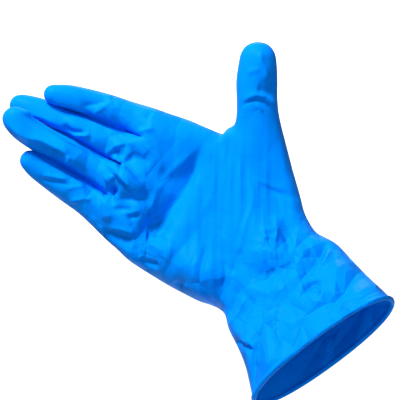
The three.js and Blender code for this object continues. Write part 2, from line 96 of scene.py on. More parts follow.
FINGER_COLUMNS = ("length", "width", "tip_width", "depth", "tip_depth", "curl")
FINGER_ROWS = (
    (62.4, 19.6, 12.0, 17.6, 12.4, 14.0),
    (76.0, 19.4, 14.0, 17.8, 12.8, 1.0),
    (75.0, 18.8, 15.4, 17.6, 12.8, 22.0),
    (59.6, 20.2, 12.6, 17.0, 11.6, 14.0),
)
FINGERS = named(FINGER_COLUMNS, FINGER_ROWS)  # index, middle, ring and little finger

# Counts of the cage's faces: across a finger, through the palm's edge, along the cuff, the neck, the thumb's
# hole and the knuckles, then along a finger, along the thumb and round the bead.
FINGER_STRIPS = 6
EDGE_STRIPS = 4
RING_COUNTS = (14, 3, 10, 6)
FINGER_RINGS = 16
THUMB_RINGS = 14
BEAD_STRIPS = 12

# %% [markdown]
# ## Sections of the glove
# A soft tube of changing section is easiest to state as sections along a middle line. `along` is the share
# of its stretch, `narrow` and `flat` the shares of the way from the stretch's first width and depth to its
# last, `square` the power of the section's outline, `heading` the rise of the middle line above -X, `rise`
# and `bend` how the section itself leans.

# %% Section tables
BODY_COLUMNS = ("along", "narrow", "flat", "square", "heading", "rise", "bend")
CUFF_ROWS = (
    (0, 0, 0, 2.2, 66, 53.5, 35),
    (0.15, 0.17, 0, 2.1, 63, 54, 35),
    (0.34, 0.39, 0, 2.1, 59, 53.7, 36),
    (0.58, 0.55, 0.2, 2.2, 56, 53, 36),
    (0.81, 0.66, 0.5, 2.3, 53, 51.5, 34),
)
PALM_ROWS = (
    (0, 0, 0, 2.3, 44, 49.8, 28),
    (0.11, 0.15, 0.2, 2.3, 40, 50.3, 20),
    (0.21, 0.44, 0.4, 2.4, 39, 49, 13),
    (0.37, 0.6, 0.65, 2.5, 37.5, 46, 5),
    (0.53, 0.75, 0.8, 2.6, 38, 43.8, 1),
    (0.69, 0.86, 0.9, 2.6, 39, 41.8, 0),
    (0.85, 0.97, 0.95, 2.6, 38, 39.8, 0),
)
KNUCKLE_ROWS = (
    (0, 0, 0, 2.6, 35, 37.9, 0),
    (0.32, 0.32, 0.3, 2.6, 31, 36.3, 0),
    (0.6, 0.52, 0.6, 2.6, 30, 34.5, 0),
    (1, 1, 1, 2.6, 30, 32.5, 0),
)
FINGER_SECTION_COLUMNS = ("at", "free", "slim", "flat")
FINGER_SECTION_ROWS = (
    (0, 0, 0, 0),
    (0.08, 0.62, 0.05, 0),
    (0.2, 0.97, 0.16, 0.06),
    (0.34, 1, 0.27, 0.15),
    (0.42, 1, 0.33, 0.3),
    (0.52, 1, 0.45, 0.38),
    (0.68, 1, 0.62, 0.66),
    (0.8, 1, 0.76, 0.78),
    (0.89, 1, 1, 1),
)
THUMB_COLUMNS = ("at", "free", "wide", "deep", "heading", "rise", "bend")
THUMB_ROWS = (
    (0, 0, 1, 1.2, 87.5, 135, 0),
    (0.087, 0.17, 1, 1.2, 87.5, 133, -2),
    (0.174, 0.47, 1, 1.16, 86.5, 128.5, -6),
    (0.26, 0.7, 1, 1.1, 84.5, 121.5, -9),
    (0.35, 0.83, 1, 1.04, 81, 116, -10),
    (0.45, 0.94, 1, 1, 81, 109, -10),
    (0.56, 1, 1, 1, 86, 102, -10),
    (0.72, 1, 0.98, 0.97, 92, 94, -8),
    (0.87, 1, 0.88, 0.88, 92, 90, -5),
)


def columns(names, rows):
    """A table as one array for each named column."""
    return {name: np.array([row[i] for row in rows], float) for i, name in enumerate(names)}


def read(table, column, place):
    """Cubic Hermite curve through one column, each slope taken from the rows on either side."""
    at, value = table["at"], table[column]
    rows = np.arange(len(at))
    low, high = np.maximum(rows - 1, 0), np.minimum(rows + 1, len(at) - 1)
    slope = (value[high] - value[low]) / (at[high] - at[low])
    i = np.clip(np.searchsorted(at, place, "right") - 1, 0, len(at) - 2)
    span = at[i + 1] - at[i]
    t = np.clip((place - at[i]) / span, 0, 1)
    rest = 1 - t
    start = value[i] * rest * rest * (1 + 2 * t) + slope[i] * span * t * rest * rest
    return start + value[i + 1] * t * t * (3 - 2 * t) - slope[i + 1] * span * t * t * rest


def unit(vectors):
    """Vectors scaled to length 1."""
    return vectors / np.linalg.norm(vectors, axis=-1, keepdims=True)


def axes(rise, bend):
    """Unit vectors ahead along the glove, sideways towards the thumb and back off the palm."""
    up, lean = np.radians(rise), np.radians(bend)
    ahead = np.stack([-np.cos(up) * np.cos(lean), np.sin(lean), np.sin(up) * np.cos(lean)], -1)
    side = np.stack([np.sin(up), np.zeros_like(up), np.cos(up)], -1)
    return ahead, side, np.cross(ahead, side)


def middle_line(start, length, table, steps=160):
    """The line from start whose direction at each place is the table's heading and bend, as a function."""
    places = (np.arange(steps) + 0.5) * length / steps
    ahead = axes(read(table, "heading", places), read(table, "bend", places))[0]
    points = np.vstack([start, start + np.cumsum(ahead * length / steps, 0)])
    along = np.linspace(0, length, steps + 1)

    def at(place):
        """The line's point at a place, between two steps."""
        return np.stack([np.interp(place, along, points[:, k]) for k in range(3)], -1)

    return at


# %% Stretches from the opening to the knuckles
WIDTHS = np.array([finger["width"] + FINGER_GAP for finger in FINGERS])
KNUCKLE_WIDTH = WIDTHS.sum()
KNUCKLES["width"] = KNUCKLE_WIDTH
WRIST_PLACE = CUFF["length"]
WEB_PLACE = WRIST_PLACE + PALM["length"]
KNUCKLE_PLACE = WEB_PLACE + KNUCKLES["length"]
STEPS = np.array([0, WRIST_PLACE, WEB_PLACE, KNUCKLE_PLACE])


def stretch(rows, start, length, first, last):
    """A stretch's table with its places, widths and depths in millimetres."""
    table = columns(BODY_COLUMNS, rows)
    table["at"] = start + table.pop("along") * length
    table["width"] = first["width"] + (last["width"] - first["width"]) * table.pop("narrow")
    table["depth"] = first["depth"] + (last["depth"] - first["depth"]) * table.pop("flat")
    return table


STRETCHES = [
    stretch(CUFF_ROWS, 0, CUFF["length"], CUFF, WRIST),
    stretch(PALM_ROWS, WRIST_PLACE, PALM["length"], WRIST, PALM),
    stretch(KNUCKLE_ROWS, WEB_PLACE, KNUCKLES["length"], PALM, KNUCKLES),
]
BODY = {name: np.concatenate([table[name] for table in STRETCHES]) for name in STRETCHES[0]}
body_line = middle_line(np.zeros(3), KNUCKLE_PLACE, BODY)
print("opening to knuckles", round(KNUCKLE_PLACE, 1), "mm, knuckles", round(KNUCKLE_WIDTH, 1), "mm wide")

# %% [markdown]
# ## Broad folds
# A worn film is stretched flat over the pads and sags into the hollows between them. These broad forms are
# pressed into the cage before it is smoothed. Each runs between two places, given as steps (0 the opening,
# 1 the wrist, 2 the thumb's web, 3 the knuckles) and shares of half the width (-1 the far side, 1 the
# thumb's). Reach and depth are shares of the palm's depth, and a negative depth is a mound.

# %% Broad folds tables
FOLD_COLUMNS = ("from_step", "from_share", "to_step", "to_share", "reach", "depth")
PALM_FOLDS = (
    (2.2, 0.74, 2.32, 0.14, 0.22, 0.13),
    (2.32, 0.14, 1.97, -0.72, 0.25, 0.14),
    (2.72, -0.25, 2.62, 0, 0.3, -0.07),
    (2.9, 0.08, 2.72, 0.4, 0.2, 0.08),
    (1.92, 0.6, 1.5, -0.45, 0.2, 0.07),
    (1.7, 0.85, 1.4, 0.35, 0.35, -0.1),
    (1.8, -0.6, 1.3, -0.5, 0.3, -0.08),
    (1.22, 0.5, 0.8, 0.3, 0.2, 0.08),
    (0.98, -0.15, 0.8, 0.1, 0.2, 0.06),
    (0.9, 0.9, 0.56, 0.35, 0.2, 0.08),
    (0.85, -0.92, 0.62, -0.45, 0.2, 0.08),
    (0.56, -0.16, 0.15, -0.39, 0.2, 0.05),
)
BACK_FOLDS = (
    (2.7, 0.68, 2.95, 0.68, 0.26, -0.11),
    (2.75, 0.22, 3, 0.22, 0.26, -0.12),
    (2.7, -0.24, 2.95, -0.24, 0.26, -0.11),
    (2.55, -0.7, 2.8, -0.7, 0.24, -0.09),
    (2.2, 0.45, 1.9, -0.35, 0.4, 0.08),
    (1.75, -0.5, 1.45, 0.3, 0.2, 0.06),
    (1.02, -0.75, 0.95, 0.6, 0.2, 0.07),
    (0.75, 0.3, 0.3, 0.42, 0.2, 0.06),
)
GATHERS = {"count": 9, "height": 0.7, "step": 0.86, "reach": 0.3}


def step_place(step):
    """Millimetres along the glove at a step."""
    return np.interp(step, np.arange(len(STEPS)), STEPS)


def fold_depth(rows, place, share, half_width):
    """Sum of a table's folds: each falls off as a bell curve of the distance to its line."""
    here = np.stack(np.broadcast_arrays(place, share * half_width), -1)
    total = np.zeros(np.shape(share))
    for fold in named(FOLD_COLUMNS, rows):
        start = np.array([step_place(fold["from_step"]), fold["from_share"] * half_width])
        run = np.array([step_place(fold["to_step"]), fold["to_share"] * half_width]) - start
        reached = np.clip((here - start) @ run / (run @ run), 0, 1)
        distance = np.linalg.norm(here - start - reached[..., None] * run, axis=-1)
        bell = np.exp(-((distance / (fold["reach"] * PALM["depth"])) ** 2))
        total = total + fold["depth"] * PALM["depth"] * bell
    return total


def body_ring(place, angles):
    """A section of cuff or palm: a superellipse on its own axes, less its folds, plus its gathers."""
    width, depth, square = (read(BODY, column, place) for column in ("width", "depth", "square"))
    ahead, side, back = axes(read(BODY, "rise", place), read(BODY, "bend", place))
    cos, sin = np.cos(angles), np.sin(angles)
    radius = (np.abs(cos) ** square + np.abs(sin) ** square) ** (-1 / square)
    share = radius * cos
    palm_fold = fold_depth(PALM_FOLDS, place, share, width / 2)
    back_fold = fold_depth(BACK_FOLDS, place, share, width / 2)
    fade = np.exp(-(((place - step_place(GATHERS["step"])) / (GATHERS["reach"] * CUFF["length"])) ** 2))
    gather = GATHERS["height"] * fade * np.sin(GATHERS["count"] * angles)
    fold = np.where(sin < 0, palm_fold, back_fold) * np.abs(sin) - gather
    arch_share = np.clip((place - WEB_PLACE) / KNUCKLES["length"], 0, 1) ** 2
    arch = KNUCKLES["arch"] * (1 - share**2) * arch_share
    across = np.outer(share * width / 2, side)
    through = np.outer(radius * sin * depth / 2 - np.sign(sin) * fold, back)
    return body_line(place) + across + through + np.outer(arch, ahead)


# %% [markdown]
# ## The cage
# The film forks into five, so it is no single sheet of a grid. A coarse cage of four-sided faces carries
# the forks: rings along the glove, one closed row for each finger and a hole in the edge for the thumb.
# Catmull-Clark smoothing then turns it into the stretched skin.

# %% Points and faces
class Cage:
    """Points and four-sided faces, gathered piece by piece."""

    def __init__(self):
        self.points = np.zeros((0, 3))
        self.faces = np.zeros((0, 4), int)

    def add(self, points):
        """Adds points and gives back their numbers."""
        first = len(self.points)
        self.points = np.vstack([self.points, points])
        return np.arange(first, len(self.points))

    def quads(self, *corners):
        """Adds faces from four equal arrays of corners, anticlockwise from outside."""
        self.faces = np.vstack([self.faces, np.stack([np.ravel(corner) for corner in corners], -1)])

    def band(self, near, far):
        """Adds skin between two closed rows, each anticlockwise seen from ahead."""
        self.quads(near, np.roll(near, -1), np.roll(far, -1), far)


# %% Fingers and thumb as rows of points
CAP_RIM = np.pi / 4  # from the pole of a round end down to the rim of its grid


def row_angles(count, across):
    """Angles of a digit's row of points, from the first corner on the palm's side."""
    return -np.pi / 2 + (np.arange(count) - across / 2) * 2 * np.pi / count


def cap_angles(across, deep, count):
    """Angle round the end and share of the way to its rim, for the inner points of a round cap's grid."""
    i, j = np.meshgrid(np.arange(1, across), np.arange(1, deep), indexing="ij")
    x, y = 2 * i / across - 1, 2 * j / deep - 1
    wide = np.abs(x) >= np.abs(y)
    swing_x = y / np.where(x == 0, 1, x) * deep / 2
    swing_y = -x / np.where(y == 0, 1, y) * across / 2
    middle = np.where(wide, np.where(x < 0, np.pi, 0), np.sign(y) * np.pi / 2)
    return middle + np.where(wide, swing_x, swing_y) * 2 * np.pi / count, np.maximum(np.abs(x), np.abs(y))


def add_tip(cage, row, across, deep, tip):
    """A rounded end: two shrinking rows, then a grid of faces over the pole."""
    for down in (1.5 * CAP_RIM, CAP_RIM):
        far = cage.add(tip(row_angles(len(row), across), down))
        cage.band(row, far)
        row = far
    angles, shares = cap_angles(across, deep, len(row))
    grid = np.zeros((across + 1, deep + 1), int)
    inner = cage.add(tip(angles.ravel(), shares.ravel() * CAP_RIM))
    grid[1:-1, 1:-1] = inner.reshape(across - 1, deep - 1)
    grid[:, 0] = row[: across + 1]
    grid[across, :] = row[across : across + deep + 1]
    grid[:, deep] = row[across + deep : 2 * across + deep + 1][::-1]
    grid[0, 1:] = row[-np.arange(1, deep + 1)]
    cage.quads(grid[:-1, :-1], grid[1:, :-1], grid[1:, 1:], grid[:-1, 1:])


def place_points(section, x, y, z):
    """Points at x sideways, y back and z ahead in a section's own frame."""
    ahead, side, back = section["axes"]
    return section["middle"] + np.outer(x, side) + np.outer(y, back) + np.outer(z, ahead)


def add_digit(cage, row, across, deep, rings, length, round_from, section):
    """A finger or thumb: its first row's shape blends by `free` into its own ellipse, then rounds off."""
    angles = row_angles(len(row), across)
    base = section(0)
    ahead, side, back = base["axes"]
    offset = cage.points[row] - base["middle"]
    x, y, z = offset @ side, offset @ back, offset @ ahead
    last = row
    for ring in range(1, rings + 1):
        here = section(ring / rings * round_from)
        free = here["free"]
        far = cage.add(
            place_points(
                here,
                x + (here["width"] / 2 * np.cos(angles) - x) * free,
                y + (here["depth"] / 2 * np.sin(angles) - y) * free,
                z * (1 - free),
            )
        )
        cage.band(last, far)
        last = far
    end = section(round_from)

    def tip(angle, down):
        """Points of half an ellipsoid, at angles round its axis and down from its pole."""
        wide = np.cos(angle) * np.sin(down) * end["width"] / 2
        deep_part = np.sin(angle) * np.sin(down) * end["depth"] / 2
        forward = length * (1 - round_from) * np.cos(down) * np.ones_like(angle)
        return place_points(end, wide, deep_part, forward)

    add_tip(cage, last, across, deep, tip)


# %% Lines and rings of the cuff and palm
SQUARE = KNUCKLE_ROWS[-1][BODY_COLUMNS.index("square")]
CORNER = 1 - (1 - np.sqrt(0.5)) * FINGERS[0]["width"] / KNUCKLE_WIDTH
FACE_STRIPS = len(FINGERS) * FINGER_STRIPS


def line_angles():
    """Angles at which the lengthwise lines cross every section: palm, thumb's edge, back, far edge."""
    edges = np.clip(2 * np.cumsum([0, *WIDTHS[::-1]]) / KNUCKLE_WIDTH - 1, -CORNER, CORNER)
    share = np.interp(np.arange(FACE_STRIPS + 1) / FINGER_STRIPS, np.arange(len(edges)), edges)
    face = np.arctan2((1 - np.abs(share) ** SQUARE) ** (1 / SQUARE), share)
    palm, back = -face, face[::-1]
    steps = np.arange(1, EDGE_STRIPS) / EDGE_STRIPS
    thumb_edge = palm[-1] + (back[0] - palm[-1]) * steps
    far_edge = back[-1] + (palm[0] + 2 * np.pi - back[-1]) * steps
    return np.concatenate([palm, thumb_edge, back, far_edge])


FILM_START = np.sqrt(BEAD_RADIUS**2 - (FILM / 2) ** 2)
RING_STOPS = [FILM_START, WRIST_PLACE, WRIST_PLACE + THUMB_ROOT * PALM["length"], WEB_PLACE, KNUCKLE_PLACE]
RING_PLACES = np.interp(np.arange(sum(RING_COUNTS) + 1), np.cumsum([0, *RING_COUNTS]), RING_STOPS)
ROOT_RING = sum(RING_COUNTS[:2])
WEB_RING = sum(RING_COUNTS[:3])
LINES = line_angles()
print("rings", len(RING_PLACES), "lines", len(LINES))

# %% [markdown]
# ## Fingers
# The fingers lie side by side and fan out a little. Each middle line keeps the two half widths to its
# neighbour, less the press that flattens them together, and less where one finger curls in front of the
# next: there the step between the two lets them close up.

# %% Fingers' middle lines
FINGER = columns(FINGER_SECTION_COLUMNS, FINGER_SECTION_ROWS)
LONGEST = max(finger["length"] for finger in FINGERS) + KNUCKLES["arch"]
FAN = {"at": np.array([0, LONGEST]), "heading": np.array([FAN_RISE, FAN_TIP_RISE]), "bend": np.zeros(2)}
fan_line = middle_line(body_line(KNUCKLE_PLACE), LONGEST, FAN)
STARTS = KNUCKLE_WIDTH / 2 - np.cumsum(WIDTHS) + WIDTHS / 2
LEADS = KNUCKLES["arch"] * (1 - (2 * STARTS / KNUCKLE_WIDTH) ** 2)
print("longest finger with its knuckle's arch", LONGEST, "mm")


def finger_width(finger, place):
    """Width at a place, on its way from the knuckle's to the tip's."""
    slim = read(FINGER, "slim", place / finger["length"])
    return finger["width"] + (finger["tip_width"] - finger["width"]) * slim


def finger_dip(finger, place):
    """How far the curl has brought the finger forwards: curl times place squared, over twice the length."""
    return np.radians(finger["curl"]) * max(place, 0) ** 2 / (2 * finger["length"])


def finger_offset(index, fan_place):
    """Distance of a finger's middle from the fan's middle line, from the pitches between neighbours."""
    places = fan_place - LEADS
    widths = np.array([finger_width(finger, place) for finger, place in zip(FINGERS, places)])
    dips = np.array([finger_dip(finger, place) for finger, place in zip(FINGERS, places)])
    apart = (widths[1:] + widths[:-1]) / 2 - FINGER_PRESS
    pitches = np.sqrt(np.maximum(apart**2 - np.diff(dips) ** 2, 0))
    return (STARTS[0] + STARTS[-1] + pitches.sum()) / 2 - pitches[:index].sum()


def finger_middle(index, place):
    """A point of a finger's middle line."""
    fan_place = place + LEADS[index]
    _, side, back = axes(read(FAN, "heading", fan_place), 0.0)
    dip = finger_dip(FINGERS[index], place)
    return fan_line(fan_place) + finger_offset(index, fan_place) * side - dip * back


def finger_section(index, share):
    """Middle, axes and size of a finger's section."""
    finger = FINGERS[index]
    place, probe = share * finger["length"], finger["length"] / 100
    ahead = unit(finger_middle(index, place + probe) - finger_middle(index, place - probe))
    side = unit(np.cross([0, 1, 0], ahead))
    return {
        "middle": finger_middle(index, place),
        "axes": (ahead, side, np.cross(ahead, side)),
        "free": read(FINGER, "free", share),
        "width": finger_width(finger, place),
        "depth": finger["depth"] + (finger["tip_depth"] - finger["depth"]) * read(FINGER, "flat", share),
    }


def add_fingers(cage, knuckle_row):
    """Rows across the webs, then a finger from each part of the knuckles' row."""
    back_start = FACE_STRIPS + EDGE_STRIPS
    shares = np.arange(1, EDGE_STRIPS)[:, None] / EDGE_STRIPS
    webs = []
    for web in range(len(FINGERS) - 1):
        palm_point = cage.points[knuckle_row[(len(FINGERS) - 1 - web) * FINGER_STRIPS]]
        back_point = cage.points[knuckle_row[back_start + (web + 1) * FINGER_STRIPS]]
        webs.append(cage.add(palm_point + (back_point - palm_point) * shares))
    looped = np.append(knuckle_row, knuckle_row[0])
    thumb_edge = looped[FACE_STRIPS + 1 : back_start]
    far_edge = looped[back_start + FACE_STRIPS + 1 : -1]
    for index, finger in enumerate(FINGERS):
        palm_start = (len(FINGERS) - 1 - index) * FINGER_STRIPS
        first = back_start + index * FINGER_STRIPS
        near_edge = thumb_edge if index == 0 else webs[index - 1]
        last_edge = far_edge if index == len(FINGERS) - 1 else webs[index][::-1]
        palm_part = looped[palm_start : palm_start + FINGER_STRIPS + 1]
        back_part = looped[first : first + FINGER_STRIPS + 1]
        row = np.concatenate([palm_part, near_edge, back_part, last_edge])

        def section(share, index=index):
            """This finger's section."""
            return finger_section(index, share)

        length, round_from = finger["length"], FINGER["at"][-1]
        add_digit(cage, row, FINGER_STRIPS, EDGE_STRIPS, FINGER_RINGS, length, round_from, section)


# %% Thumb and the whole cage
def add_thumb(cage, rings):
    """The thumb, from the hole in the palm's edge to its tip."""
    palm_line, back_line = FACE_STRIPS - 1, FACE_STRIPS + EDGE_STRIPS + 1
    between = slice(palm_line + 1, back_line)
    row = np.concatenate(
        [
            rings[ROOT_RING : WEB_RING + 1, palm_line][::-1],
            rings[ROOT_RING, between],
            rings[ROOT_RING : WEB_RING + 1, back_line],
            rings[WEB_RING, between][::-1],
        ]
    )
    edge_line = FACE_STRIPS + EDGE_STRIPS // 2
    start = cage.points[rings[[ROOT_RING, WEB_RING], edge_line]].mean(0)
    table = columns(THUMB_COLUMNS, THUMB_ROWS)
    line_table = {**table, "at": table["at"] * THUMB["length"]}
    line = middle_line(start, THUMB["length"], line_table)

    def section(share):
        """Middle, axes and size of the thumb's section."""
        return {
            "middle": line(share * THUMB["length"]),
            "axes": axes(read(table, "rise", share), read(table, "bend", share)),
            "free": read(table, "free", share),
            "width": read(table, "wide", share) * THUMB["width"],
            "depth": read(table, "deep", share) * THUMB["depth"],
        }

    across, deep = WEB_RING - ROOT_RING, back_line - palm_line
    add_digit(cage, row, across, deep, THUMB_RINGS, THUMB["length"], table["at"][-1], section)


def make_cage():
    """Cuff and palm with a hole for the thumb, then the fingers and the thumb."""
    cage = Cage()
    rings = np.array([cage.add(body_ring(place, LINES)) for place in RING_PLACES])
    ring, line = np.meshgrid(np.arange(len(rings) - 1), np.arange(len(LINES)), indexing="ij")
    in_hole = (ring >= ROOT_RING) & (ring < WEB_RING)
    in_hole &= (line >= FACE_STRIPS - 1) & (line <= FACE_STRIPS + EDGE_STRIPS)
    ring, line = ring[~in_hole], line[~in_hole]
    after = (line + 1) % len(LINES)
    cage.quads(rings[ring, line], rings[ring, after], rings[ring + 1, after], rings[ring + 1, line])
    add_fingers(cage, rings[-1])
    add_thumb(cage, rings)
    used, renumbered = np.unique(cage.faces, return_inverse=True)
    return cage.points[used], renumbered.reshape(-1, 4)


def outward(points, faces):
    """Unit direction out of the film at every point, weighted by the area of the faces round it."""
    a, b, c, d = (points[faces[:, k]] for k in range(4))
    area = np.cross(c - a, d - b)
    total = np.zeros_like(points)
    for k in range(4):
        np.add.at(total, faces[:, k], area)
    return unit(total)


cage_points, cage_faces = make_cage()
cage_points = cage_points + outward(cage_points, cage_faces) * CAGE_SWELL
print("cage", len(cage_points), "points", len(cage_faces), "faces")

# %% [markdown]
# ## The smoothed skin
# The real film draws itself smooth over every fork. One fine grid can't follow a fork without a seam, but
# Catmull-Clark smoothing of the cage can. It pulls the skin in a little, so the cage was swollen before.


# %% Smooth the cage
def add_object(name, data):
    """A new object in the scene, made of its data."""
    new = bpy.data.objects.new(name, data)
    bpy.context.scene.collection.objects.link(new)
    return new


def smooth(points, faces, levels):
    """Catmull-Clark smoothing, given back as points and faces."""
    mesh = bpy.data.meshes.new("cage")
    mesh.from_pydata(points, [], faces)
    piece = add_object("cage", mesh)
    rounder = piece.modifiers.new("round", "SUBSURF")
    rounder.levels = levels
    rounder.render_levels = levels
    rounded = piece.evaluated_get(bpy.context.evaluated_depsgraph_get()).to_mesh()
    flat = np.empty(len(rounded.vertices) * 3)
    rounded.vertices.foreach_get("co", flat)
    corners_of = np.empty(len(rounded.loops), int)
    rounded.loops.foreach_get("vertex_index", corners_of)
    bpy.data.objects.remove(piece)
    bpy.data.meshes.remove(mesh)
    return flat.reshape(-1, 3), corners_of.reshape(-1, 4)


skin, skin_faces = smooth(cage_points, cage_faces, SKIN_LEVELS)
lining, lining_faces = smooth(cage_points, cage_faces, SKIN_LEVELS - 1)
print("skin", len(skin), "points", len(skin_faces), "faces, lining", len(lining_faces), "faces")

# %% [markdown]
# ## Creases
# The film is a little larger than what fills it, so it creases at every joint, drags in thin lines over
# the ball of the thumb and crumples in front of the wrist. A bump could draw the creases, but they are
# deep enough to shade each other, so they are pressed into the skin. Each is a smooth line through (x, z)
# points of the upright plane through the origin, as seen from the eye's place. `reach` is its half width,
# `height` is negative for a valley, and `lean`, where a row ends with one, shifts it to one side, positive
# to the left of its direction. A crease has a narrow core and wide flanks, as a folded film has. The
# grooves between the fingers are worked out from the fingers' lines. The inner face takes only the
# valleys, a little wider, so that it stays under the outer face.

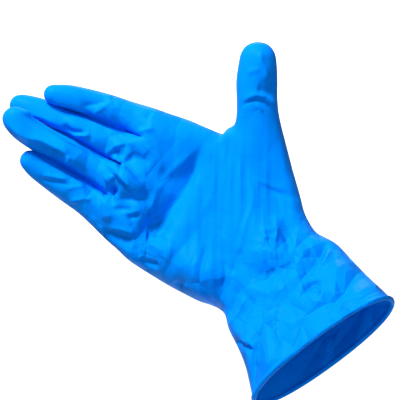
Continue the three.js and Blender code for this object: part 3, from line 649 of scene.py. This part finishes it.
# %% Crease tables
EYE = np.array([-68.05, -662.0, 83.54])
CREASE_COLUMNS = ("name", "reach", "height", "points", "lean")
PALM_CREASES = (
    ("index joint", 3, -0.9, ((-134.4, 134.4), (-125.6, 136.7), (-116.7, 140)), 0.3),
    ("index joint ridge", 1.5, 0.6, ((-128.9, 129.5), (-123.9, 133.3), (-117.8, 138.3))),
    ("index upright", 1.3, -0.5, ((-116.2, 142.2), (-115.6, 134.4))),
    ("index base", 1.2, -0.5, ((-97.4, 127.2), (-96.3, 130.6), (-94.1, 133.3))),
    ("index lip", 1.4, 0.8, ((-102.4, 121.2), (-97.4, 122.3), (-93.5, 123.9))),
    ("middle joint", 1.8, -1, ((-143, 126.5), (-140.5, 121.5), (-130, 120.5))),
    ("middle joint ridge", 1.2, 0.7, ((-140, 119), (-128, 119.5))),
    ("middle facet", 1.8, 0.7, ((-170, 132.5), (-156, 129.5), (-145, 124.5)), 0.3),
    ("index facet", 1.8, 0.7, ((-151, 137.5), (-138, 134.5), (-128, 129)), 0.3),
    ("middle base ridge", 1.4, 0.8, ((-121.2, 107.9), (-112.9, 114), (-102.4, 115.1))),
    ("middle base hollow", 2.6, -1.1, ((-118.4, 106.8), (-115.1, 110.6), (-112.3, 105.1))),
    ("middle web pleat", 1.6, -1, ((-114, 101.2), (-107.9, 105.7), (-105.7, 109))),
    ("middle pad hollow", 3, -0.9, ((-107.9, 109.5), (-101.2, 107.3), (-94.6, 104))),
    ("ring facet", 2.2, 1.5,
     ((-175.4, 126.7), (-164.9, 118.9), (-156.6, 116.7), (-149.9, 113.4), (-140, 107.9)), 0.3),
    ("ring facet end", 1.4, 0.6, ((-140, 108.4), (-142.2, 102.3))),
    ("little ridge", 1.4, 0.6, ((-155.5, 97.4), (-140, 94.1))),
    ("little hollow", 1.4, -0.6, ((-157.7, 95.2), (-138.9, 91.8))),
    ("little joint", 1.2, 0.5, ((-141.6, 89.6), (-131.1, 91.8))),
    ("little base", 1.4, 0.6, ((-140.5, 82.4), (-125.6, 85.2))),
    ("web hole", 2.2, -2.4, ((-119.5, 90.5), (-114.5, 86.5))),
    ("web line", 1.2, -1.2, ((-117.8, 89.1), (-116.2, 80.2))),
    ("web ridge", 1.4, 0.9, ((-121.2, 94.1), (-115.6, 96.8))),
    ("web tuck", 2, 1, ((-120.6, 85.2), (-120.1, 78), (-118.4, 71.4))),
    ("little root fold", 2.4, -1.5, ((-122.8, 66.4), (-114.5, 63.6), (-104.6, 59.8))),
    ("little root ridge", 1.6, 0.9, ((-121.2, 68), (-111.2, 66.4), (-102.9, 64.2))),
    ("ring pad", 8, 1.4, ((-112.9, 93.5), (-106.2, 99.6))),
    ("pad line", 0.9, 0.4, ((-99.6, 115.1), (-92.4, 107.3), (-88, 97.9))),
    ("palm crease under the pad", 2.4, -1, ((-112.9, 84.1), (-103.5, 83.5), (-94.1, 84.6))),
    ("palm crease below it", 1.8, -0.8, ((-117.3, 78.6), (-104.6, 77.5))),
    ("palm crease third", 1.5, -0.7, ((-108.4, 73), (-100.7, 75.8))),
    ("palm crease ridge", 1.2, 0.6, ((-111.8, 76.3), (-101.2, 76.9))),
    ("palm hollow", 6, -3.6,
     ((-65.8, 114.5), (-73.6, 102.3), (-79.7, 92.4), (-86.9, 80.2), (-94.6, 68), (-100.7, 55.9)), 0.55),
    ("palm hollow lip", 1.6, 0.7,
     ((-68.6, 112.9), (-79.1, 103.5), (-87.4, 95.7), (-91.8, 88.5), (-96.3, 75.2), (-99.6, 68.6))),
    ("heel line 1", 0.9, 0.4, ((-95.7, 65.3), (-90.2, 65.3), (-85.2, 61.4))),
    ("heel line 2", 0.9, 0.4, ((-98.5, 58.6), (-92.9, 58.6), (-88.5, 54.2))),
    ("heel fold", 2, -1.1, ((-102.4, 50.3), (-96.8, 48.1), (-90.2, 47))),
    ("heel edge fold", 2, -0.9, ((-83.5, 37.6), (-76.9, 34.3))),
    ("drag 1", 1.2, -0.55, ((-55.9, 90.2), (-55.3, 72.5), (-56.4, 60.3))),
    ("drag 2", 1.2, -0.5, ((-55.3, 51.5), (-54.2, 42), (-56.4, 33.2))),
    ("drag 3", 1.5, 0.8, ((-40.4, 95.7), (-39.8, 80.8), (-43.2, 71.4), (-45.9, 58.6), (-48.1, 48.1))),
    ("drag 3 valley", 1.3, -0.7, ((-42, 92.4), (-42, 79.1), (-45.4, 69.7), (-48.1, 55.9))),
    ("drag 4", 1, 0.35, ((-60.9, 104), (-60.9, 90.7), (-64.2, 80.2), (-68, 74.1))),
    ("drag 5", 1.2, 0.4, ((-69.7, 67.5), (-68.6, 55.9), (-71.4, 41.5))),
    ("drag 6", 1, 0.35, ((-84.1, 59.2), (-86.9, 48.7))),
    ("drag 7", 1, 0.35, ((-65.3, 47), (-64.7, 37.1))),
    ("drag 8", 1, 0.45, ((-38, 96), (-30, 91.5), (-20, 88.5))),
    ("drag 8 valley", 1.7, -0.5, ((-36, 93), (-25, 88), (-12, 84.5))),
    ("thumb joint lip", 1.3, 0.8,
     ((-44.5, 136.8), (-40.5, 140.2), (-36, 141.2), (-30.4, 139), (-25.5, 132.4))),
    ("thumb joint crease", 1, -0.8,
     ((-45.4, 134.9), (-42, 137.7), (-37.1, 139.3), (-31.5, 137.7), (-26.4, 131.7))),
    ("thumb joint hollow", 2.4, -0.6, ((-37.1, 144.9), (-26.6, 142.7))),
    ("thumb joint pleat", 0.9, 0.4, ((-37.6, 136.7), (-33.2, 132.8))),
    ("thumb side", 2.4, -0.4, ((-28.2, 151.6), (-26.6, 138.3))),
    ("thumb facet", 1.6, 0.6, ((-34.3, 167.1), (-34.3, 159.9), (-32.1, 155.5), (-30.4, 148.8))),
    ("thumb pad line", 1, 0.4, ((-41.5, 152.1), (-39.3, 154.9), (-34.3, 155.5))),
    ("wrist star 1", 1.4, 0.6, ((-34.9, 66.4), (-26, 67.5))),
    ("wrist star 2", 1.3, 0.7, ((-34.3, 63.6), (-24.3, 61.4))),
    ("wrist star 3", 1.5, 0.7, ((-26, 75.8), (-26, 60.9))),
    ("wrist valley", 1.3, -0.8, ((-23.8, 67.5), (-19.9, 60.3), (-19.4, 53.1), (-17.7, 48.1))),
    ("wrist facet", 2.4, 1.2, ((-36.5, 59.2), (-33.7, 49.2), (-31.5, 41.5))),
    ("wrist facet valley", 1.4, -0.7, ((-31, 56.4), (-30.4, 45.9), (-26, 43.2))),
    ("wrist nick", 1, 0.5, ((-43.2, 49.2), (-38.7, 48.7))),
    ("wrist nick low", 1.5, -0.7, ((-42, 28.8), (-37.6, 24.9))),
    ("cuff fold", 1.8, -1.4, ((2.8, 62), (-0.6, 54.8), (-4.4, 48.7), (-10, 41.5))),
    ("cuff fold ridge", 1.6, 0.9, ((5, 59.2), (2.2, 52.6), (-2.2, 46.5), (-7.2, 39.3))),
    ("cuff star 1", 1.4, 0.9, ((-10.5, 37.1), (0, 39.8))),
    ("cuff star 2", 1.2, -0.8, ((-10, 34.9), (-0.6, 37.6))),
    ("cuff star 3", 1.4, -0.9, ((-13.3, 28.8), (-7.7, 37.1))),
    ("cuff star 4", 1.1, 0.5, ((-6.6, 35.4), (-1.1, 32.1))),
    ("cuff line", 1.1, 0.6, ((-25.5, 28.8), (-26.6, 22.1), (-27.1, 13.8), (-26, 6.1), (-22.1, 2.2))),
    ("cuff far fold", 2, -1.3, ((-49.8, 6.1), (-44.3, 2.8), (-38.2, 0))),
    ("cuff far ridge", 1.5, 0.9, ((-47.6, 7.2), (-40.4, 3.9), (-34.3, 1.7))),
    ("cuff drag", 1.2, 0.5, ((-36, 1.1), (-36.5, -8.3))),
    ("neck fold 1", 1.6, -0.9, ((-53.7, 18.3), (-49.2, 28.2), (-47, 37.1))),
    ("neck fold 2", 1.6, 0.8, ((-52.6, 13.8), (-45.9, 21.6), (-42.6, 30.4))),
    ("neck fold 3", 1.6, -0.8, ((-50.9, 41.5), (-48.1, 49.2), (-45.9, 57))),
)
BACK_CREASES = (
    ("wrist fold 1", 2.4, -1.3, ((-50, 34), (-38, 40), (-24, 50), (-8, 60)), 0.3),
    ("wrist fold 2", 2, 1, ((-54, 42), (-42, 47), (-28, 58), (-14, 66))),
    ("wrist fold 3", 2, -1.1, ((-44, 24), (-30, 30), (-16, 40))),
    ("wrist fold 4", 1.8, 0.9, ((-34, 20), (-22, 27), (-4, 44))),
    ("index knuckle", 2.6, -1, ((-88, 132), (-96, 120))),
    ("middle knuckle", 2.6, -1, ((-97, 117), (-102, 106))),
    ("ring knuckle", 2.6, -1, ((-102, 101), (-105, 91))),
    ("little knuckle", 2.4, -0.9, ((-103, 86), (-104, 76))),
    ("thumb's joint", 2, -0.9, ((-45, 139), (-35, 141), (-27, 138))),
)
CREASE_CORE, CORE_POWER = 1.5, 1.4
CREASE_FLANK, FLANK_REACH = 0.8, 2.2
FADE_SHARE, END_SHARE = 0.3, 0.12  # the length over which a crease fades, and what is left at its end
FACE_TURN = 3  # how soon a crease fades where the skin turns away from its face
FAINT = 4  # reaches of a flank past which nothing of it is left
GROOVE = {"face": "palm", "reach": 1.3, "height": -0.8, "lean": 0}
GROOVE_START, GROOVE_SHARE, GROOVE_POINTS = 4, 0.94, 9


# %% Press the creases into the skin
def seen(points):
    """Where points fall on the upright plane through the origin, seen from the eye's place."""
    scale = -EYE[1] / (points[:, 1] - EYE[1])
    return EYE[[0, 2]] + (points[:, [0, 2]] - EYE[[0, 2]]) * scale[:, None]


def groove_points(index):
    """Points along the line where a finger meets the next one, as seen from the eye's place."""
    pair = FINGERS[index : index + 2]
    ends = [finger["length"] + lead for finger, lead in zip(pair, LEADS[index:])]
    line = []
    for fan_place in np.linspace(GROOVE_START, GROOVE_SHARE * min(ends), GROOVE_POINTS):
        places = fan_place - LEADS[index : index + 2]
        near, far = (finger_width(finger, place) for finger, place in zip(pair, places))
        middles = [finger_middle(index + k, place) for k, place in enumerate(places)]
        line.append(middles[0] + (middles[1] - middles[0]) * near / (near + far))
    return seen(np.array(line))


def smooth_line(points, steps=20):
    """A smooth line through the points, evenly stepped along their chords."""
    points = np.array(points, float)
    at = np.append(0, np.cumsum(np.linalg.norm(np.diff(points, axis=0), axis=1)))
    table = {"at": at, "x": points[:, 0], "z": points[:, 1]}
    along = np.linspace(0, at[-1], steps + 1)
    return np.stack([read(table, "x", along), read(table, "z", along)], -1)


def ease(t):
    """A smooth step from 0 to 1."""
    t = np.clip(t, 0, 1)
    return t * t * (3 - 2 * t)


def crease_height(crease, where):
    """Height of one crease, fading towards both ends: a narrow core, exp(-(d / reach)^1.4), on wide flanks,
    exp(-d / (2.2 reach)), where d is the distance from its line."""
    line = smooth_line(crease["points"])
    best = np.full(len(where), np.inf)
    progress, signed = np.zeros(len(where)), np.zeros(len(where))
    for i, (start, run) in enumerate(zip(line[:-1], np.diff(line, axis=0))):
        reached = np.clip((where - start) @ run / (run @ run), 0, 1)
        gap = where - start - reached[:, None] * run
        distance = np.linalg.norm(gap, axis=1)
        nearer = distance < best
        best = np.where(nearer, distance, best)
        progress = np.where(nearer, (i + reached) / (len(line) - 1), progress)
        signed = np.where(nearer, np.sign(run[0] * gap[:, 1] - run[1] * gap[:, 0]), signed)
    reach = crease["reach"] * (1 + signed * crease["lean"])
    fade = ease(np.minimum(progress, 1 - progress) / FADE_SHARE + END_SHARE)
    core = CREASE_CORE * np.exp(-((best / reach) ** CORE_POWER))
    flank = CREASE_FLANK * np.exp(-best / (reach * FLANK_REACH))
    return crease["height"] * fade * (core + flank)


def press_creases(points, normals, creases):
    """Moves each point along its normal by the sum of the creases on the face that it belongs to."""
    where = seen(points)
    height = np.zeros(len(points))
    facings = {"palm": ease(-FACE_TURN * normals[:, 1]), "back": ease(FACE_TURN * normals[:, 1])}
    for crease in creases:
        facing = facings[crease["face"]]
        spots = np.array(crease["points"])
        margin = FAINT * FLANK_REACH * crease["reach"] * (1 + abs(crease["lean"]))
        inside = (where > spots.min(0) - margin) & (where < spots.max(0) + margin)
        near = np.all(inside, axis=1) & (facing > 0)
        height[near] += crease_height(crease, where[near]) * facing[near]
    return points + normals * height[:, None]


creases = []
for face, rows in (("palm", PALM_CREASES), ("back", BACK_CREASES)):
    creases += [{"face": face, "lean": 0, **crease} for crease in named(CREASE_COLUMNS, rows)]
creases += [{**GROOVE, "points": groove_points(index)} for index in range(len(FINGERS) - 1)]
skin = press_creases(skin, outward(skin, skin_faces), creases)
valleys = [{**crease, "reach": crease["reach"] + LINING_SPREAD} for crease in creases if crease["height"] < 0]
lining = press_creases(lining, outward(lining, lining_faces), valleys)
print("creases", len(creases))

# %% [markdown]
# ## Slackness
# Between the named creases the film crumples finely where it is slack and lies smooth where it is taut.
# Over the ball of the thumb it is dragged instead, and lies in long fine pleats that run up the thumb. Such
# crumples are too fine and too many to draw one by one, so the material makes them, and each point of the
# film says how slack and how dragged it is: its share is a bell round each place of the tables.

# %% Slackness and drag tables
SLACK_COLUMNS = ("name", "x", "y", "z", "reach", "amount")
DRAG_ROWS = (
    ("ball of the thumb", -48, 16, 92, 26, 1.0),
    ("heel", -62, 16, 60, 20, 0.8),
    ("root of the thumb", -38, 20, 116, 16, 0.2),
)
SLACK_ROWS = (
    ("front of the wrist", -22, 14, 48, 26, 0.9),
    ("cuff", 4, 0, 22, 34, 0.7),
    ("cuff's far side", -36, 4, 8, 26, 0.8),
    ("back of the wrist", -30, 58, 40, 40, 0.8),
    ("palm's far side", -105, 32, 62, 24, 0.8),
    ("heel's edge", -68, 30, 36, 22, 0.6),
    ("webs", -112, 30, 104, 22, 0.7),
    ("index joint", -118, 25, 138, 12, 0.5),
    ("middle joint", -140, 25, 118, 12, 0.5),
    ("ring finger", -140, 18, 106, 20, 0.6),
    ("index root", -92, 25, 128, 20, 0.3),
    ("palm", -80, 22, 90, 80, 0.1),
    ("little finger", -134, 22, 88, 18, 0.6),
    ("thumb's joint", -38, 28, 134, 12, 0.2),
    ("back of the knuckles", -100, 56, 100, 30, 0.5),
)


def share_near(points, rows):
    """Largest of the bells round a table's places, at each point."""
    table = columns(SLACK_COLUMNS[1:], [row[1:] for row in rows])
    places = np.stack([table["x"], table["y"], table["z"]], -1)
    distance = np.linalg.norm(points[:, None] - places, axis=2)
    return (table["amount"] * np.exp(-((distance / table["reach"]) ** 2))).max(1)


# %% [markdown]
# ## Film and bead
# The inner face lies inside the outer one. At the opening both run into the bead, which is the film's own
# end rolled up. A Solidify modifier gives a wall but no rolled end, so the bead's round section is carried
# along the rim, from the outer face to the inner one.


# %% Close the film with its bead
def rim_of(faces, points):
    """The open edge's points in order of their angle round the opening, anticlockwise from ahead."""
    edges = np.concatenate([faces[:, [k, (k + 1) % 4]] for k in range(4)])
    pairs, uses = np.unique(np.sort(edges, axis=1), axis=0, return_counts=True)
    rim = np.unique(pairs[uses == 1])
    _, side, back = axes(BODY["rise"][0], BODY["bend"][0])
    return rim[np.argsort(np.arctan2(points[rim] @ back, points[rim] @ side))]


def roll_bead(outer, inner, ahead):
    """Rows of points round the bead: a circle about the film's end, from the outer face to the inner one."""
    out = unit(outer - inner)
    middle = (outer + inner) / 2 - ahead * FILM_START
    start = np.arcsin(FILM / 2 / BEAD_RADIUS)
    angles = np.linspace(start, 2 * np.pi - start, BEAD_STRIPS + 1)[1:-1]
    return [middle + BEAD_RADIUS * (np.cos(angle) * ahead + np.sin(angle) * out) for angle in angles]


def close_film(outer, outer_faces, coarse, inner_faces):
    """Points and faces of the whole film: outer face, bead, then the inner face under the coarse skin."""
    inner = coarse - outward(coarse, inner_faces) * LINING_DEPTH
    rim = rim_of(outer_faces, outer)
    film_end = outer[rim] - outward(outer, outer_faces)[rim] * FILM
    bead = roll_bead(outer[rim], film_end, axes(BODY["rise"][0], BODY["bend"][0])[0])
    numbers = len(outer) + np.arange(len(bead) * len(rim)).reshape(len(bead), -1)
    rows = [rim, *numbers]
    bands = [
        np.stack([near, far, np.roll(far, -1), np.roll(near, -1)], -1)
        for near, far in zip(rows[:-1], rows[1:])
    ]
    first = len(outer) + numbers.size
    inner_rim = rim_of(inner_faces, coarse) + first
    nearest = np.argmin(np.linalg.norm(inner[inner_rim[0] - first] - bead[-1], axis=1))
    last = np.roll(rows[-1], -nearest)
    after = np.roll(last, -1)
    seam = np.stack([last[::2], inner_rim, np.roll(inner_rim, -1), np.roll(last[::2], -1), after[::2]], -1)
    faces = [*np.vstack([outer_faces, *bands, (inner_faces + first)[:, ::-1]]).tolist(), *seam.tolist()]
    return np.vstack([outer, *bead, inner]), faces


def make_piece(name, points, faces):
    """A smooth-shaded mesh object at the origin, from points in millimetres."""
    mesh = bpy.data.meshes.new(name)
    mesh.from_pydata(points * MM, [], faces)
    mesh.shade_smooth()
    return add_object(name, mesh)


film_points, film_faces = close_film(skin, skin_faces, lining, lining_faces)
glove = make_piece("glove_film", film_points, film_faces)
for name, rows in (("slack", SLACK_ROWS), ("drag", DRAG_ROWS)):
    attribute = glove.data.attributes.new(name, "FLOAT", "POINT")
    attribute.data.foreach_set("value", share_near(film_points, rows).astype(np.float32))
print("film", len(film_points), "points", len(film_faces), "faces")

# %% [markdown]
# ## Nitrile
# Dipped nitrile is a dense, satin film of one deep blue, and its lights are only a brighter blue. A film
# has no thickness to round its creases, so where it crumples it breaks into flat facets with sharp edges:
# roofs over random cells, in a few sizes that cross. Where it drags it has fine pleats: triangle waves bent
# by noise. Both are bumps, because they don't show on the outline. `turn` is the direction in degrees about
# Y, `size` and `length` are in millimetres, `slope` is the tilt of the facets, and `stretch` draws the
# forms out. The former leaves a grain of about 0.1 mm, too fine to show, so it is drawn 0.5 mm across.

# %% Crumple tables
FACET_COLUMNS = ("turn", "size", "slope", "stretch")
FACETS = named(FACET_COLUMNS, ((20, 34, 0.8, 1.8), (75, 19, 0.55, 1.6), (130, 9, 0.22, 1.4)))
PLEAT_COLUMNS = ("turn", "length", "depth", "wander", "stretch")
PLEATS = named(PLEAT_COLUMNS, ((4, 8, 0.7, 3, 5), (-10, 5, 0.4, 3, 5)))
GRAIN = {"size": 0.5, "depth": 0.05, "strength": 0.25}
WAVE_LENGTH = np.pi / 10  # of Blender's wave texture at scale 1
print("crumples", len(FACETS), "sizes of facets and", len(PLEATS), "of pleats")


# %% Colours and nodes
def srgb(code):
    """A hex colour as linear red, green, blue and alpha."""
    value = np.array([int(code[i : i + 2], 16) for i in (1, 3, 5)]) / 255
    linear = np.where(value <= 0.04045, value / 12.92, ((value + 0.055) / 1.055) ** 2.4)
    return (*linear, 1.0)


def add_node(tree, kind, settings=(), links=()):
    """Adds a node, sets its properties and its sockets by name or number, links sockets into it and gives
    back its outputs."""
    node = tree.nodes.new(kind)
    for name, value in dict(settings).items():
        if isinstance(name, int) or name in node.inputs:
            node.inputs[name].default_value = value
        else:
            setattr(node, name, value)
    for name, source in dict(links).items():
        tree.links.new(source, node.inputs[name])
    return node.outputs


def new_material(name):
    """A material and its empty node tree."""
    material = bpy.data.materials.new(name)
    material.use_nodes = True
    material.node_tree.nodes.clear()
    return material, material.node_tree


# %% Heights of the crumples
def pattern_height(tree, place, turn, stretch, kind, form, output, amount):
    """Height in mm: an amount times a pattern that is turned about Y and drawn out along the turned Z."""
    lie = {"Rotation": (0, np.radians(turn), 0), "Scale": (1, 1, 1 / stretch)}
    turned = add_node(tree, "ShaderNodeMapping", lie, {"Vector": place})["Vector"]
    pattern = add_node(tree, kind, form, {"Vector": turned})[output]
    return add_node(tree, "ShaderNodeMath", {"operation": "MULTIPLY", 1: amount}, {0: pattern})["Value"]


def facet_height(tree, place, turn, size, slope, stretch):
    """Flat facets: the distance to the nearest border of random cells, times the slope."""
    form = {"feature": "DISTANCE_TO_EDGE", "Scale": 1 / (size * MM)}
    amount = size * slope
    return pattern_height(tree, place, turn, stretch, "ShaderNodeTexVoronoi", form, "Distance", amount)


def pleat_height(tree, place, turn, length, depth, wander, stretch):
    """Sharp pleats: triangle waves across the turned X, bent by noise."""
    form = {
        "wave_profile": "TRI",
        "Scale": WAVE_LENGTH / (length * MM),
        "Distortion": wander,
        "Detail": 1.0,
        "Detail Scale": 0.6,
    }
    return pattern_height(tree, place, turn, stretch, "ShaderNodeTexWave", form, "Fac", depth)


def shared_height(tree, heights, attribute):
    """The sum of heights, times the share that an attribute of the film gives."""
    total = heights[0]
    for height in heights[1:]:
        total = add_node(tree, "ShaderNodeMath", {"operation": "ADD"}, {0: total, 1: height})["Value"]
    share = add_node(tree, "ShaderNodeAttribute", {"attribute_name": attribute})["Fac"]
    return add_node(tree, "ShaderNodeMath", {"operation": "MULTIPLY"}, {0: total, 1: share})["Value"]


# %% Nitrile
def make_nitrile():
    """Blue nitrile rubber, satin and finely grained, crumpled where slack and pleated where dragged."""
    material, tree = new_material("blue nitrile rubber")
    place = add_node(tree, "ShaderNodeTexCoord")["Object"]
    slack = shared_height(tree, [facet_height(tree, place, **row) for row in FACETS], "slack")
    drag = shared_height(tree, [pleat_height(tree, place, **row) for row in PLEATS], "drag")
    height = add_node(tree, "ShaderNodeMath", {"operation": "ADD"}, {0: slack, 1: drag})["Value"]
    bump = {"Strength": 1.0, "Distance": MM}
    crumple = add_node(tree, "ShaderNodeBump", bump, {"Height": height})["Normal"]
    noise = {"Scale": 1 / (GRAIN["size"] * MM), "Detail": 2.0}
    grain = add_node(tree, "ShaderNodeTexNoise", noise, {"Vector": place})["Fac"]
    bump = {"Strength": GRAIN["strength"], "Distance": GRAIN["depth"] * MM}
    rough = add_node(tree, "ShaderNodeBump", bump, {"Height": grain, "Normal": crumple})["Normal"]
    finish = {
        "Base Color": srgb("#0081f3"),
        "Roughness": 0.42,
        "Specular IOR Level": 0.06,
        "Specular Tint": srgb("#0078ff"),
    }
    surface = add_node(tree, "ShaderNodeBsdfPrincipled", finish, {"Normal": rough})["BSDF"]
    add_node(tree, "ShaderNodeOutputMaterial", links={"Surface": surface})
    return material


glove.data.materials.append(make_nitrile())
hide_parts("glove")
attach(glove, "root")
print("film's material", glove.data.materials[0].name)

# %% [markdown]
# ## Studio
# White paper swept up behind, a soft key light from the upper left, a weak one from the front and a bright
# room. The paper lies well below and behind, or its light would turn the film's edges pale. The camera
# looks straight along +Y from the eye's place, about 0.66 m away, and its lens gives the photo's
# perspective.


# %% Backdrop
PAPER = {"left": -1200.0, "right": 1100.0, "near": -1200.0, "bend": 2400.0, "radius": 600.0}
PAPER_FLOOR, PAPER_TOP, PAPER_STRIPS = -900.0, 1000.0, 12


def make_backdrop():
    """A sheet of paper: a floor, a quarter bend and a wall, as one strip of sections along X."""
    start, radius = PAPER["bend"], PAPER["radius"]
    turn = np.linspace(0, np.pi / 2, PAPER_STRIPS + 1)
    bend = np.stack([start + radius * np.sin(turn), PAPER_FLOOR + radius * (1 - np.cos(turn))], -1)
    profile = np.vstack([[PAPER["near"], PAPER_FLOOR], bend, [start + radius, PAPER_TOP]])
    sides = (PAPER["left"], PAPER["right"])
    rows = [np.column_stack([np.full(len(profile), x), profile]) for x in sides]
    first = np.arange(len(profile) - 1)
    faces = np.stack([first, first + len(profile), first + len(profile) + 1, first + 1], -1)
    return make_piece("backdrop", np.vstack(rows), faces)


def make_paper():
    """Matt white paper of the backdrop."""
    material, tree = new_material("white paper")
    finish = {"Base Color": srgb("#f4f4f4"), "Roughness": 0.9}
    surface = add_node(tree, "ShaderNodeBsdfPrincipled", finish)["BSDF"]
    add_node(tree, "ShaderNodeOutputMaterial", links={"Surface": surface})
    return material


backdrop = make_backdrop()
backdrop.data.materials.append(make_paper())
backdrop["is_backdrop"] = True
print("backdrop", len(backdrop.data.polygons), "faces")

# %% Lights and camera
LENS, SENSOR = 107.7, 36.0
ROOM_LIGHT = 0.25
MIDDLE = (-0.06, 0.0, 0.07)  # of the glove, in metres


def add_light(name, place, size, power, target):
    """A square soft light that faces the target. Places and size are in metres, power in watts."""
    data = bpy.data.lights.new(name, "AREA")
    data.size = size
    data.energy = power
    light = add_object(name, data)
    light.location = place
    back = np.array(place) - np.array(target)
    light.rotation_euler = Vector(back).to_track_quat("Z", "Y").to_euler()


def add_camera():
    """The photo's camera, level and straight ahead."""
    data = bpy.data.cameras.new("camera")
    data.lens = LENS
    data.sensor_width = SENSOR
    camera = add_object("camera", data)
    camera.location = EYE * MM
    camera.rotation_euler = (np.pi / 2, 0, 0)
    bpy.context.scene.camera = camera


add_light("key", (-0.6, -0.6, 1.1), 0.35, 30, MIDDLE)
add_light("front", (0.3, -1.3, 0.3), 0.9, 3.5, MIDDLE)
add_light("backdrop", (0.0, 1.6, 1.7), 1.0, 75, (0.0, 3.0, 0.1))
world = bpy.data.worlds.new("bright room")
world.use_nodes = True
room = world.node_tree.nodes["Background"].inputs
room["Color"].default_value = (1, 1, 1, 1)
room["Strength"].default_value = ROOM_LIGHT
bpy.context.scene.world = world
bpy.context.scene.view_settings.view_transform = "Standard"
add_camera()
print("lights", len(bpy.data.lights), "camera at", list(EYE), "mm")
